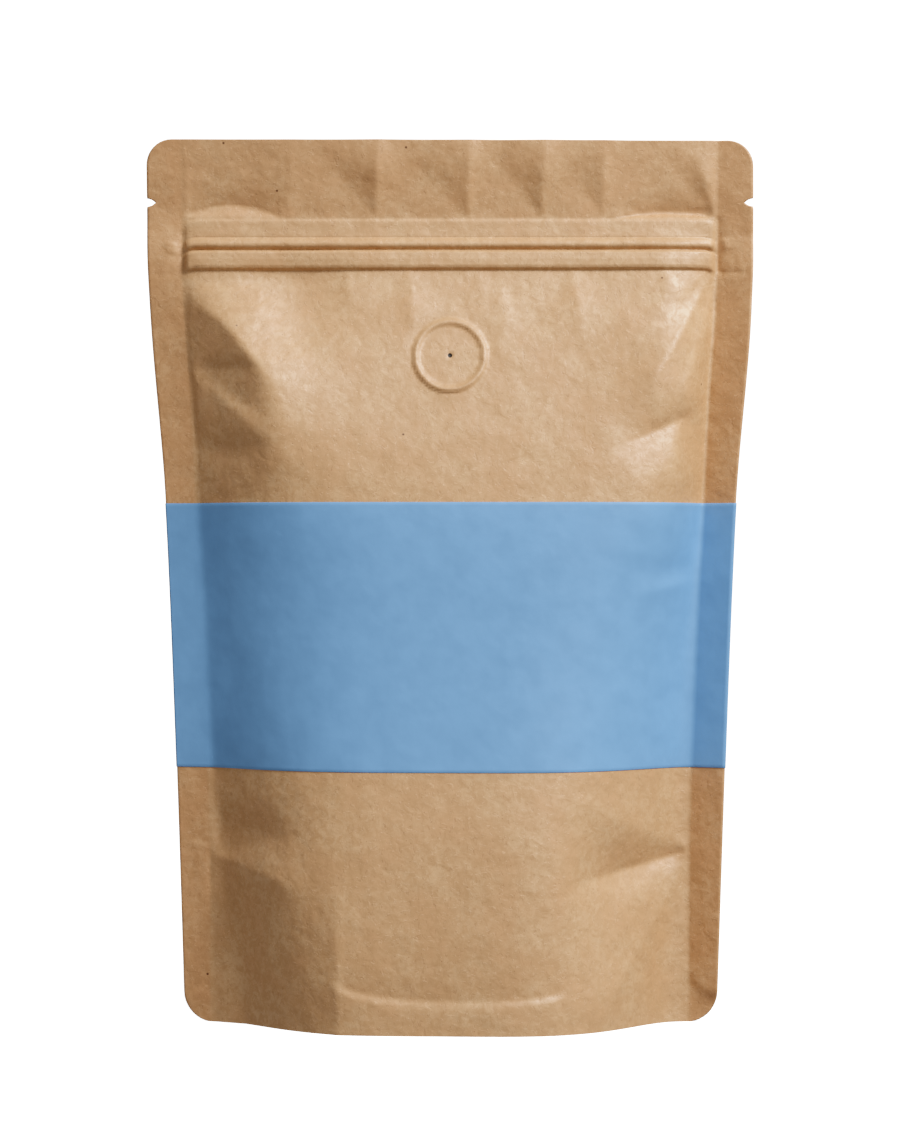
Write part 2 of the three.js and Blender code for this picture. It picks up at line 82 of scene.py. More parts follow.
# Curves up the height, as (z, value) stations.
EDGE = [(0, 69.3), (84, 72.1), (136, 74.4), (188, 78.6), (203, 79.1), (230, 78.9)]
SEAM = [(0, 62.3), (43, 62.4), (69, 63.2), (109, 64.8), (136, 66.3), (162, 67.5), (197, 69.8), (230, 69.8)]
DEPTH = [
    (0, 28.2), (16, 28.3), (45, 27.2), (68, 24.4), (100, 20.8), (136, 17.6), (150, 15.3), (160, 12.9),
    (174, 9.1), (184, 6.0), (190, 4.1), (196.6, 2.3), (205, 0.9), (210, 0.4), (230, 0.1),
]

# The left half is slack and the right half tight. A level section is depth * (1 - u ** boxy) ** pull,
# with u from 0 at the middle to 1 at the seam, and blend rounds the corner to the flat triangles.
SLACK = {
    "boxy": [
        (0, 4.2), (30, 4.6), (60, 3.7), (100, 3.0), (136, 4.2), (150, 7), (160, 12), (185, 14), (230, 14),
    ],
    "pull": [(0, 2.4), (30, 2.0), (60, 1.5), (100, 1.15), (136, 1.15), (150, 1.1), (160, 1.0), (230, 1.0)],
    "blend": [(136, 5.0), (165, 3.5), (172, 1.0), (196, 0.4)],
}
TIGHT = {
    "boxy": [
        (0, 4.0), (30, 3.6), (60, 3.6), (84, 3.9), (112, 5.2), (136, 9.0), (148, 14), (160, 14), (230, 16),
    ],
    "pull": [(0, 2.5), (30, 2.2), (60, 1.9), (100, 1.7), (136, 1.3), (150, 1.15), (160, 1.0), (230, 1.0)],
    "blend": [(136, 3.0), (150, 4.0), (165, 4.5), (185, 4.0), (196, 0.9)],
}

# Swellings under both corners of the zip: centre x, spread, and (z, height) stations.
EARS = [
    (-55, 22, [(120, 0), (140, 0.3), (150, 1.6), (160, 3.6), (170, 4.5), (177, 3.4), (184, 2.0), (190, 0.1),
               (194, -1.1), (196.6, -0.9), (206, 0)]),
    (60, 15, [(120, 0), (140, 0.2), (150, 1.0), (160, 2.0), (168, 2.5), (177, 2.8), (184, 2.8), (190, 2.6),
              (196.6, 2.2), (205, 1.0), (212, 0)]),
]

# Flat triangles beside the seams: slope inwards, slope downwards, and the height where they start.
SLACK_FACETS = [(0.76, 0.0, 170.5), (0.55, 0.33, 170.5), (0.86, 0.0, 149.5), (0.8, 0.34, 149.5)]
TIGHT_FACETS = [(0.54, 0.32, 191.5), (0.72, 0.63, 161.8), (1.9, 0.0, 160.0)]
FACET_ROUND = {"slack": 0.5, "tight": 0.6, "flank": 1.5}  # roundness of the corners between them
FACET_RISE = 0.3  # how far the triangles are lifted off the seam
FACET_BOTTOM = {"z": 112.0, "fade": 24.0}  # they start here and are full where the fade ends

# The contents lie a little fuller to the right.
SLUMP = {"slope": 0.055, "top": 150.0, "fade": 40.0}
# Under the bend at the bottom the film leaves the left and the right seam with these slopes.
LOW_FLANK = {"slope": (0.55, 0.2), "reach": 8.0, "top": 52.0, "fade": 10.0, "round": 1.0}
# The film stands back at the right end of the zip.
RECESS = {"depth": 1.4, "z": 195, "tall": 13, "from_x": 40, "to_x": 70}

# The left fin leans back and the right fin leans forward. The lean is the rise per mm outwards, and kept
# is the share of it that stays in the sealed top.
FIN = {
    "lean": (-math.tan(math.radians(15)), math.tan(math.radians(24))),
    "top": 206.0, "fade": (26.0, 12.0), "kept": (0.0, 0.45),
}
# Near its bottom corner the right fin leans less, under a line that drops outwards.
FIN_CORNER = {"z": 10.0, "drop": 6.0, "reach": 2.0, "fade": 5.0, "kept": 0.45}
# The sealed top leans forward over the zip, and more so at its left end than at its right end.
HEADER = {"lean": 0.15, "twist": 0.08, "half_width": 70.0, "round": 3.0, "fade": 1.5}

# Profile of the shut strip pressed through the film, as (z, rise): two ribs under a flat flange.
ZIP = [
    (196.2, 0), (196.9, 0.95), (197.6, 1.3), (199.2, 1.45), (200.9, 1.35), (201.3, 1.1), (201.6, 0.15),
    (202.5, 1.15), (202.9, 1.35), (203.4, 1.38), (204.2, 1.0), (204.75, 0.5), (204.9, 0.3), (205.15, 0.44),
    (209.2, 0.36), (209.8, 0),
]
ZIP_TOP = ZIP[-1][0]
ZIP_END = {"x": 69.6, "reach": 3.0, "droop": 1.2, "fade": 0.9}

# Hollows over the flange: from x to x, how high their line arches, depth, and how far they reach up.
HOLLOWS = [(-71, -44, 3.6, 1.4, 5.0), (43, 71, 1.6, 1.4, 4.4)]
HOLLOW_FOOT = 0.2  # height of their line over the flange at both its ends

# The film is flat and tilted round the valve, which has a rim, a flat disc and a pinhole.
VALVE = {
    "z": 173.6, "depth": 9.25, "slope": 0.31, "flat": 13.0, "blend": 4.0,
    "radius": 9.7, "ring": 1.6, "rise": 0.95, "disc": 0.15, "disc_edge": 0.4,
    "pinhole": 1.3, "sink": 0.6, "sink_edge": 0.5, "sink_rim": 0.2,
}

# The curved seal of the bottom web: level in the middle, steep outside the bend. On the left and on the
# right it curls up a little more. The film is drawn in over it, less so upwards, downwards and at the ends.
SEAL = {"z": 8.6, "bend": 30.0, "steep": 1.03, "round": 6.0, "curl": (0.0025, 0.0006)}
SEAL_STEP = {"depth": 0.65, "up": 6.0, "down": 2.2, "end": 31.0, "end_fade": 5.0}

# Folds that open like a cone: from x, z to x, z, rise per mm along, then the widths to the left and to the
# right, seen along the fold, per mm along. The last value, if given, is the share of the length that fades.
FLUTES = [
    (-27, 197, -25.5, 184, 0.08, 0.8, 0.7), (-10.8, 197.2, -8.5, 170, 0.09, 1.0, 0.8),
    (7.5, 197.2, 9.5, 178, 0.05, 0.9, 0.8), (13, 192, 16, 168, 0.05, 0.8, 0.7),
    (32, 197.2, 35.5, 172, 0.1, 1.1, 0.95), (56, 197, 57.5, 187, 0.09, 0.9, 0.8),
    (69.5, 197, 43, 150, 0.06, 0.2, 0.26),
]
PLEATS = [
    (-19.3, 210.4, -18.5, 238, 0.18, 0.95, 0.8), (4.6, 210.4, 5.5, 238, 0.155, 1.15, 0.5),
    (23.8, 210.4, 25.0, 238, 0.19, 0.9, 0.85), (40.0, 210.4, 40.5, 240, 0.1, 0.7, 0.4),
    (69.4, 211.0, 62.5, 232, 0.11, 0.42, 1.1), (-42, 209.8, -40.5, 240, 0.05, 0.8, 0.8),
]
CORNERS = [
    (63.5, 44.8, 27, 36.3, -0.25, 0.62, 0.8, 0.55), (-63.5, 44.4, -36, 36, 0.15, 0.6, 0.7, 0.6),
    (64, 46, 34, -4, 0.045, 0.3, 0.3, 0.35),
]

# Sharp folds: from x, z to x, z, height, widths to the left and to the right, seen along the fold, and the
# shares of the length that fade at its start and at its end.
FOLDS = [
    (-29, 44, -28.3, -14, 1.0, 6, 3.5, 0.5, 0.01),
    (65, 115.5, 45, 111, 0.5, 3, 3, 0.3, 0.5),
    (-68, 170.7, -45, 170.2, -1.5, 2.6, 8, 0.3, 0.5),
    (-67, 149.8, -42, 149.6, -1.2, 3.2, 8, 0.3, 0.6),
    (67, 160.2, 40, 148, -3.6, 15, 5, 0.3, 0.6),
    (69.6, 211.3, 58, 212.3, -0.5, 1.2, 1.5, 0.05, 0.7),
]

# Folds that the zip's ends press into the side seams, on the front only.
NIPS = [
    (-70, 207, -70, 195, -0.5, 0.7, 0.7, 0.1, 0.1),
    (70.1, 211, 70.1, 195, -0.4, 0.7, 0.7, 0.1, 0.1),
    (-74.2, 204.6, -73, 200.4, 0.28, 0.5, 0.5, 0.3, 0.3),
    (-72.6, 204.2, -71.8, 200, 0.32, 0.45, 0.5, 0.3, 0.3),
    (71.6, 205.2, 72.6, 201.4, 0.4, 0.6, 0.6, 0.3, 0.3),
    (70.2, 196, 79, 195.6, -0.3, 0.6, 0.9, 0.05, 0.4),
    (-70.5, 195.6, -79, 195.2, -0.14, 0.6, 0.8, 0.1, 0.4),
    (-62.6, 45.3, -70, 46.6, 0.2, 0.5, 0.7, 0.1, 0.5),
    (-70, 5.4, -63.4, 9.4, 0.35, 0.5, 1.4, 0.2, 0.3),
    (-62.9, 46, -62.5, 24, -0.3, 0.5, 0.5, 0.1, 0.6),
]
NIP_CREST = 0.2  # how far the rounding of a nip's crest reaches to each side
FOLD_CREST = 0.5  # the same for a fold
PLEAT_TIP = 0.05  # half width of a pleat at its tip
PLEAT_FEET = 1.5  # power with which a pleat's sides run out into soft feet
FOLD_END = 3.0  # folds and dents fade out over this distance from the side seams

# Dents: middle x and z, half width, half height, and depth.
DENTS = [(-40, 184, 12, 14, -2.7), (-53, 50.5, 11, 5.5, -1.8), (-56, 90, 5, 10, -0.5), (56, 118, 8, 3, -0.4)]

# The folded web between the panels. Its fold is up to half the gusset's width high at the seams, and the
# web's middle hangs down by the sag, for each mm that the seal is under the fold.
GUSSET = {
    "half_width": 61.6, "fold": 43.0, "free": 43.5, "sag": 0.7, "wall": 0.35, "lowest": 0.05, "level": 0.5,
}
GUSSET_CELLS = {"across": 180, "web": 40, "skirt": 8}

# The wrap's edges are turned in, and its rise grows where the film is steep.
WRAP = {"edge": 0.1, "shoulder": 0.55, "tuck": 0.05, "reach": 0.25, "steepest": 1.6}

# The panels' rows change their spacing at these heights.
ROWS = {"ribs": 196.0, "flange": 205.4, "flange_edge": 209.0, "header": 211.0, "notch_step": 0.3}
CORNER_ROWS = 11  # round each corner of the outline
# Nominal widths, which set the number of cells across.
PANEL_HALF = 65.0
WRAP_HALF = 64.0
FIN_WIDTH = 9.0
WIDEST_SEAM = 0.97  # share of the outline's half width, at the rounded corners

# Where the finish is that of sealed film: over the seams, and in part in the header.
SEALED = {"fins_fade": 0.8, "header": 0.5, "header_fade": 1.0}


# ------------------------------------------------------------------ formulas on whole arrays


def curve(stations, z):
    """A smooth cubic through (z, value) stations that never overshoots them."""
    at, value = np.array(stations, float).T
    slope = np.diff(value) / np.diff(at)
    tangent = np.empty_like(value)
    tangent[0], tangent[-1] = slope[0], slope[-1]
    below, above = slope[:-1], slope[1:]
    same = below * above > 0
    tangent[1:-1] = np.where(same, 2 * below * above / np.where(same, below + above, 1), 0)
    z = np.clip(z, at[0], at[-1])
    i = np.clip(np.searchsorted(at, z, side="right") - 1, 0, len(at) - 2)
    step = at[i + 1] - at[i]
    t = (z - at[i]) / step
    return (
        (2 * t**3 - 3 * t**2 + 1) * value[i]
        + (t**3 - 2 * t**2 + t) * step * tangent[i]
        + (-2 * t**3 + 3 * t**2) * value[i + 1]
        + (t**3 - t**2) * step * tangent[i + 1]
    )


def smooth(t):
    """0 under 0, 1 over 1, and an even S between them."""
    t = np.clip(t, 0, 1)
    return t * t * (3 - 2 * t)


def lesser(a, b, width):
    """The lesser of two heights, with the corner between them rounded over a width."""
    share = np.clip(0.5 + (b - a) / (2 * width), 0, 1)
    return b + (a - b) * share - width * share * (1 - share)


def greater(a, b, width):
    """The greater of two heights, rounded in the same way."""
    return -lesser(-a, -b, width)


def swell(x, z, middle_x, middle_z, wide, tall, height):
    """A bell-shaped swelling, or a dent where the height is negative: exp of minus the squared distance."""
    return height * np.exp(-(((x - middle_x) / wide) ** 2) - ((z - middle_z) / tall) ** 2)


def by_line(x, z, x0, z0, x1, z1):
    """Share of the way along a line, and distance to its right."""
    dx, dz = x1 - x0, z1 - z0
    length = math.hypot(dx, dz)
    return ((x - x0) * dx + (z - z0) * dz) / length**2, ((x - x0) * dz - (z - z0) * dx) / length


def fold(x, z, x0, z0, x1, z1, height, left, right, fade, end, crest=FOLD_CREST):
    """A sharp fold along a line, whose height falls off exponentially on both sides of its round crest."""
    along, off = by_line(x, z, x0, z0, x1, z1)
    away = (np.hypot(off, crest) - crest) / np.where(off > 0, right, left)
    return height * smooth(along / fade) * smooth((1 - along) / end) * np.exp(-away)


def pleat(x, z, x0, z0, x1, z1, steep, left, right, fade=0.75, crest=0.35):
    """A fold that opens like a cone from its tip: its height and both its widths grow with the way along.

    Across, it falls from a narrow crest to soft feet; far along it sinks back into the film.
    """
    along, off = by_line(x, z, x0, z0, x1, z1)
    way = np.clip(along, 0, 1) * math.hypot(x1 - x0, z1 - z0)
    width = way * np.where(off > 0, right, left) + PLEAT_TIP
    away = np.clip((np.hypot(off, crest) - crest) / width, 0, 1)
    return steep * way * smooth((1 - along) / fade) * (1 - away) ** PLEAT_FEET


# ------------------------------------------------------------------ the film


def seal_height(x):
    """Height of the curved seal of the bottom web: half a hyperbola from level to steep, plus the curl."""
    out = SEAL["steep"] * (np.abs(x) - SEAL["bend"])
    curl = np.where(x < 0, *SEAL["curl"]) * np.minimum(np.abs(x), SEAL["bend"]) ** 2
    return SEAL["z"] + curl + (out + np.hypot(out, SEAL["round"])) / 2


def seal_step(x, z):
    """The panel is drawn in over the seal and steps back out at the skirt."""
    over = z - seal_height(x)
    above = np.exp(-np.maximum(over, 0) / SEAL_STEP["up"])
    share = np.where(over > 0, above, smooth(1 + over / SEAL_STEP["down"]))
    return -SEAL_STEP["depth"] * smooth((SEAL_STEP["end"] - np.abs(x)) / SEAL_STEP["end_fade"]) * share


def zip_relief(x, z):
    """The flange and the two ribs of the shut strip, which end before the side seams and droop there."""
    inwards = ZIP_END["x"] - np.abs(x)
    end = np.clip(1 - inwards / ZIP_END["reach"], 0, 1)
    return np.interp(z + ZIP_END["droop"] * end**2, *np.array(ZIP).T) * smooth(inwards / ZIP_END["fade"])


def hollows(x, z):
    """Shallow hollows over both ends of the flange: the film falls from the flange to an arched line."""
    total = 0
    for x0, x1, arch, depth, reach in HOLLOWS:
        t = np.clip((x - x0) / (x1 - x0), 0, 1)
        bow = 4 * t * (1 - t)
        line = ZIP_TOP + HOLLOW_FOOT + arch * bow
        above = np.exp(-np.maximum(z - line, 0) / reach)
        total = total - depth * bow * np.where(z > line, above, smooth((z - ZIP_TOP) / (line - ZIP_TOP)))
    return total


def lean(x, z):
    """How far the film's own middle stands in front of the middle plane: fins, plus header, minus recess.

    A fin rises by its lean for each mm outwards from the seam, and the header for each mm over the zip.
    """
    out = np.maximum(0, np.abs(x) - curve(SEAM, z))
    line = FIN_CORNER["z"] - FIN_CORNER["drop"] * (1 - np.exp(-out / FIN_CORNER["reach"]))
    over = smooth((z - line) / FIN_CORNER["fade"])
    corner = np.where(x < 0, 1, FIN_CORNER["kept"] + (1 - FIN_CORNER["kept"]) * over)
    kept = np.where(x < 0, *FIN["kept"])
    share = kept + (1 - kept) * smooth((FIN["top"] - z) / np.where(x < 0, *FIN["fade"]))
    fins = out * np.where(x < 0, *FIN["lean"]) * share * corner
    turn = HEADER["lean"] - HEADER["twist"] * x / HEADER["half_width"]
    header = turn * greater(z - ZIP_TOP, 0 * z, HEADER["round"])
    recess = RECESS["depth"] * np.exp(-(((z - RECESS["z"]) / RECESS["tall"]) ** 2))
    recess = recess * smooth((x - RECESS["from_x"]) / (RECESS["to_x"] - RECESS["from_x"]))
    return fins + header - recess


def buckled(inwards, z):
    """The flat triangles beside the seams: the slack side's, then the tight side's.

    Each is a plane, slope * inwards + down * (level - z), and the greater or the lesser of them is the film.
    """
    corner = FACET_ROUND["slack"]
    upper, middle, lower, lowest = [
        slope * inwards + down * (level - z) for slope, down, level in SLACK_FACETS
    ]
    slack = greater(upper, lesser(middle, greater(lower, lowest, corner), corner), corner)
    ray, patch, flank = [
        slope * inwards + down * np.maximum(0, level - z) for slope, down, level in TIGHT_FACETS
    ]
    return slack, lesser(greater(ray, patch, FACET_ROUND["tight"]), flank, FACET_ROUND["flank"])


def body(x, z):
    """The filled form: a boxy section with the ears, cut by the flat triangles at the seams, plus slump."""
    seam = curve(SEAM, z)
    u = np.clip(np.abs(x) / seam, 0, 1)
    depth = curve(DEPTH, z)
    for middle, spread, rise in EARS:
        depth = depth + curve(rise, z) * np.exp(-(((x - middle) / spread) ** 2))
    slump = SLUMP["slope"] * x * (1 - u**2) ** 2 * smooth((SLUMP["top"] - z) / SLUMP["fade"])
    inwards = np.maximum(0, seam - np.abs(x))
    low = np.minimum(inwards, LOW_FLANK["reach"]) * smooth((LOW_FLANK["top"] - z) / LOW_FLANK["fade"])
    share = smooth((z - FACET_BOTTOM["z"]) / FACET_BOTTOM["fade"])
    halves = []
    for half, facets, flank in zip((SLACK, TIGHT), buckled(inwards, z), LOW_FLANK["slope"]):
        plump = depth * (1 - u ** curve(half["boxy"], z)) ** curve(half["pull"], z)
        plump = greater(plump, flank * low, LOW_FLANK["round"])
        folded = np.maximum(0, lesser(plump, facets + FACET_RISE, curve(half["blend"], z)))
        halves.append(plump + (folded - plump) * share)
    return np.where(x < 0, *halves) + slump


def folds(x, z):
    """The sum of the step over the seal, the hollows, and all pleats, folds and dents."""
    cones = sum(pleat(x, z, *line) for line in FLUTES + PLEATS + CORNERS)
    lines = sum(fold(x, z, *line) for line in FOLDS)
    dents = sum(swell(x, z, *dent) for dent in DENTS)
    return seal_step(x, z) + hollows(x, z) + cones + lines + dents


def bulge(x, z):
    """How far a panel stands off the film's own middle: body, folds inside the seams, and zip."""
    inside = smooth((curve(SEAM, z) - np.abs(x)) / FOLD_END)
    return body(x, z) + inside * folds(x, z) + zip_relief(x, z)


def valve_relief(away):
    """The valve's half-round ring and the sunk pinhole in its flat disc, by distance from its middle."""
    half = VALVE["ring"] / 2
    middle = VALVE["radius"] - half
    ring = VALVE["rise"] * np.sqrt(np.clip(1 - ((away - middle) / half) ** 2, 0, None))
    disc = VALVE["disc"] * smooth((middle - away) / VALVE["disc_edge"])
    sink = smooth((VALVE["pinhole"] / 2 + VALVE["sink_rim"] - away) / VALVE["sink_edge"])
    return np.maximum(ring, disc) - VALVE["sink"] * sink


def front_bulge(x, z):
    """The front panel: a plane that tilts up round the valve, blended into the bulge."""
    away = np.hypot(x, z - VALVE["z"])
    share = smooth((VALVE["flat"] - away) / VALVE["blend"])
    flat = VALVE["depth"] + VALVE["slope"] * (VALVE["z"] - z)
    plain = bulge(x, z)
    return plain + (flat - plain) * share + valve_relief(away)


def front_y(x, z):
    """Place of the front panel along Y: half a film, lean, bulge and nips in front of the middle plane."""
    nips = sum(fold(x, z, *line, crest=NIP_CREST) for line in NIPS)
    return -FILM / 2 - lean(x, z) - front_bulge(x, z) - nips


def back_y(x, z):
    """The back panel is the same form turned round, and its sealed top follows the front's waves."""
    share = smooth((z - ZIP_TOP) / HEADER["fade"])
    return FILM / 2 - lean(x, z) + bulge(-x, z) * (1 - share) - bulge(x, z) * share


# ------------------------------------------------------------------ grids and meshes


def stepped(*runs):
    """Positions along a direction, from (start, end, step) runs in order."""
    parts = [np.linspace(a, b, max(1, round(abs(b - a) / step)), endpoint=False) for a, b, step in runs]
    return np.concatenate([*parts, [runs[-1][1]]])


def half_width(z):
    """Middle to edge of the flat outline: the edge's curve, less quarter rounds at corners and the notch."""
    under = np.clip(BOTTOM_RADIUS - z, 0, BOTTOM_RADIUS)
    low = BOTTOM_RADIUS - np.sqrt(BOTTOM_RADIUS**2 - under**2)
    over = np.clip(z - (HEIGHT - TOP_RADIUS), 0, TOP_RADIUS)
    high = TOP_RADIUS - np.sqrt(TOP_RADIUS**2 - over**2)
    notch = NOTCH["depth"] * np.sqrt(np.clip(1 - np.abs(z - NOTCH["z"]) / (NOTCH["height"] / 2), 0, None))
    return curve(EDGE, z) - low - high - notch


def outline_rows(step):
    """Heights of the grid's rows: even, closer at the zip and notches, and by angle round the corners."""
    turn = np.radians(np.linspace(0, 90, CORNER_ROWS))
    bottom = BOTTOM_RADIUS * (1 - np.cos(turn))
    top = HEIGHT - TOP_RADIUS * (1 - np.sin(turn))
    runs = [
        (BAND_BOTTOM, step), (BAND_TOP, 2 * step),  # the film under the band isn't seen
        (ROWS["ribs"], step), (ROWS["flange"], step / 3),
        (ROWS["flange_edge"], step), (ROWS["header"], step / 2),
        (NOTCH["z"] - NOTCH["height"] / 2, step), (NOTCH["z"] + NOTCH["height"] / 2, ROWS["notch_step"]),
        (HEIGHT - TOP_RADIUS, step),
    ]
    starts = [BOTTOM_RADIUS] + [end for end, _ in runs]
    middle = stepped(*[(start, end, size) for start, (end, size) in zip(starts, runs)])
    return np.concatenate([bottom[:-1], middle, top[1:]])


def outline_grid(step):
    """x and z of a grid over the whole outline, whose columns follow the seams and the edges."""
    z = outline_rows(step)[:, None]
    edge = half_width(z)
    seam = np.minimum(curve(SEAM, z), WIDEST_SEAM * edge)
    x = places_across(seam, edge, PANEL_HALF, step)
    return x, np.repeat(z, x.shape[1], axis=1)


def places_across(seam, edge, half, step):
    """Places across, for each row: even cells between the seams, and even cells over each fin."""
    inner = np.linspace(-1, 1, 2 * round(half / step) + 1)
    fin = np.linspace(0, 1, round(FIN_WIDTH / step) + 1)[1:]
    right = seam + (edge - seam) * fin
    return np.hstack([-right[:, ::-1], seam * inner, right])


def quads(rows, columns):
    """Corner numbers of the cells of a grid of points stored row by row."""
    a = (np.arange(rows - 1)[:, None] * columns + np.arange(columns - 1)).ravel()
    return np.stack([a, a + 1, a + columns + 1, a + columns], axis=1)


def make_piece(name, points, faces, material, nodes):
    """A smooth mesh from points in millimetres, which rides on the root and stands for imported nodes.

    Its attribute "sealed" tells the finish where both films are pressed together: the fins and the header.
    """
    mesh = bpy.data.meshes.new(name)
    mesh.from_pydata((points * MM).tolist(), [], faces.tolist())
    mesh.shade_smooth()
    across, up = np.abs(points[:, 0]), points[:, 2]
    fins = smooth((across - curve(SEAM, up)) / SEALED["fins_fade"])
    sealed = np.maximum(fins, SEALED["header"] * smooth((up - ZIP_TOP) / SEALED["header_fade"]))
    mesh.attributes.new("sealed", "FLOAT", "POINT").data.foreach_set("value", sealed.astype(np.float32))
    mesh.materials.append(material)
    piece = bpy.data.objects.new(name, mesh)
    bpy.context.scene.collection.objects.link(piece)
    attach(piece, "root")
    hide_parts(*nodes)
    return piece


def rim(grid):
    """The film's edge round both sides and the top of a front grid: two more loops, out and then back."""
    number = np.arange(grid[..., 0].size).reshape(grid.shape[:2])
    loop = np.concatenate([number[:, 0], number[-1, 1:-1], number[::-1, -1]])
    edge = grid.reshape(-1, 3)[loop]
    along = np.gradient(edge[:, [0, 2]], axis=0)
    out = FILM_EDGE * np.stack([-along[:, 1], along[:, 0]], axis=1) / np.hypot(*along.T)[:, None]
    turned = edge + np.stack([out[:, 0], np.full(len(out), FILM / 2), out[:, 1]], axis=1)
    back = edge + [0, FILM + RIM_OVERLAP, 0]
    first = number.size + np.arange(len(loop))
    second = first + len(loop)
    cells = [
        np.stack([a[:-1], a[1:], b[1:], b[:-1]], axis=1) for a, b in ((loop, first), (first, second))
    ]
    return np.vstack([turned, back]), np.vstack(cells)


def front_panel_mesh(step):
    """Points and cells of the front panel, with the film's edge."""
    x, z = outline_grid(step)
    grid = np.stack([x, front_y(x, z), z], axis=-1)
    more, cells = rim(grid)
    return np.vstack([grid.reshape(-1, 3), more]), np.vstack([quads(*x.shape), cells])


def back_panel_mesh(step):
    """Points and cells of the back panel, whose corners run the other way round."""
    x, z = outline_grid(step)
    grid = np.stack([x, back_y(x, z), z], axis=-1)
    return grid.reshape(-1, 3), quads(*x.shape)[:, ::-1]


# ------------------------------------------------------------------ finishes


class Finish:
    """Adds nodes to a material and links them, reading positions from the piece's own Object coordinates."""

    def __init__(self, name):
        self.material = bpy.data.materials.new(name)
        self.material.use_nodes = True
        self.tree = self.material.node_tree
        self.tree.nodes.clear()
        output = self.tree.nodes.new("ShaderNodeOutputMaterial")
        self.surface = self.tree.nodes.new("ShaderNodeBsdfPrincipled")
        self.link(self.surface.outputs["BSDF"], output.inputs["Surface"])
        self.place = self.tree.nodes.new("ShaderNodeTexCoord").outputs["Object"]

    def link(self, source, target):
        """Join two sockets."""
        self.tree.links.new(source, target)

    def put(self, socket, value):
        """Link a socket, or set it to a constant."""
        if isinstance(value, bpy.types.NodeSocket):
            self.link(value, socket)
        else:
            socket.default_value = value

    def noise(self, size_mm, detail=2.0, roughness=0.5, distortion=0.0, squeeze=None, turn=None):
        """Noise whose main blotches are about size_mm across, squeezed along the axes and turned."""
        node = self.tree.nodes.new("ShaderNodeTexNoise")
        node.inputs["Scale"].default_value = 1 / (size_mm * MM)
        node.inputs["Detail"].default_value = detail
        node.inputs["Roughness"].default_value = roughness
        node.inputs["Distortion"].default_value = distortion
        self.link(self.mapped(squeeze, turn), node.inputs["Vector"])
        return node.outputs["Fac"]

    def mapped(self, squeeze, turn):
        """The place squeezed along each axis and turned by degrees, or as it is."""
        if squeeze is None and turn is None:
            return self.place
        node = self.tree.nodes.new("ShaderNodeMapping")
        node.inputs["Scale"].default_value = squeeze or (1, 1, 1)
        node.inputs["Rotation"].default_value = [math.radians(a) for a in (turn or (0, 0, 0))]
        self.link(self.place, node.inputs["Vector"])
        return node.outputs["Vector"]

    def attribute(self, name):
        """The piece's own attribute of that name."""
        node = self.tree.nodes.new("ShaderNodeAttribute")
        node.attribute_name = name
        return node.outputs["Fac"]

    def painted_hole_shade(self, x_mm, z_mm, radius_mm):
        """A disc mask where the dark inside a round hole is painted as shade: near a line along Y, and in
        front of the middle plane.
        """
        axes = self.tree.nodes.new("ShaderNodeSeparateXYZ")
        self.link(self.place, axes.inputs[0])
        across = self.math("SUBTRACT", axes.outputs["X"], x_mm * MM)
        up = self.math("SUBTRACT", axes.outputs["Z"], z_mm * MM)
        squares = self.math("ADD", self.math("MULTIPLY", across, across), self.math("MULTIPLY", up, up))
        away = self.math("SQRT", squares)
        inside = self.span(away, radius_mm * 0.8 * MM, radius_mm * 1.05 * MM, 1.0, 0.0)
        return self.math("MULTIPLY", inside, self.math("LESS_THAN", axes.outputs["Y"], 0.0))

    def specks(self, spacing_mm, radius_mm):
        """Small round specks: the neighbourhoods of scattered points."""
        node = self.tree.nodes.new("ShaderNodeTexVoronoi")
        node.inputs["Scale"].default_value = 1 / (spacing_mm * MM)
        self.link(self.place, node.inputs["Vector"])
        radius = radius_mm / spacing_mm
        return self.span(node.outputs["Distance"], radius * 0.5, radius, 1.0, 0.0)

    def math(self, operation, a, b=0.0):
        """The result of an operation on one or two values."""
        node = self.tree.nodes.new("ShaderNodeMath")
        node.operation = operation
        self.put(node.inputs[0], a)
        self.put(node.inputs[1], b)
        return node.outputs[0]

    def span(self, value, low, high, to_low=0.0, to_high=1.0):
        """A value carried in an even S from one range to another and kept inside it."""
        node = self.tree.nodes.new("ShaderNodeMapRange")
        node.interpolation_type = "SMOOTHSTEP"
        for name, number in (("From Min", low), ("From Max", high), ("To Min", to_low), ("To Max", to_high)):
            node.inputs[name].default_value = number
        self.link(value, node.inputs["Value"])
        return node.outputs["Result"]

    def mix(self, share, a, b, blend="MIX"):
        """Two colours mixed by a share."""
        node = self.tree.nodes.new("ShaderNodeMix")
        node.data_type = "RGBA"
        node.blend_type = blend
        self.put(node.inputs["Factor"], share)
        self.put(node.inputs["A"], (*a, 1) if isinstance(a, tuple) else a)
        self.put(node.inputs["B"], (*b, 1) if isinstance(b, tuple) else b)
        return node.outputs["Result"]

    def bump(self, height, distance_mm, before=None):
        """The surface's normal, tilted as if the height stood out by the distance."""
        node = self.tree.nodes.new("ShaderNodeBump")
        node.inputs["Strength"].default_value = 1.0
        node.inputs["Distance"].default_value = distance_mm * MM
        self.link(height, node.inputs["Height"])
        if before is not None:
            self.link(before, node.inputs["Normal"])
        return node.outputs["Normal"]


def fibres(finish, size_mm, squeeze, turn, width):
    """Short thin lines: where a stretched noise crosses its middle value, broken up by a second noise."""
    wave = finish.noise(size_mm, detail=1.5, distortion=0.6, squeeze=squeeze, turn=turn)
    line = finish.span(finish.math("ABSOLUTE", finish.math("SUBTRACT", wave, 0.5)), 0.0, width, 1.0, 0.0)
    broken = finish.span(finish.noise(size_mm * 0.8, detail=1.0, turn=(20, 50, 70)), 0.52, 0.62)
    return finish.math("MULTIPLY", line, broken)


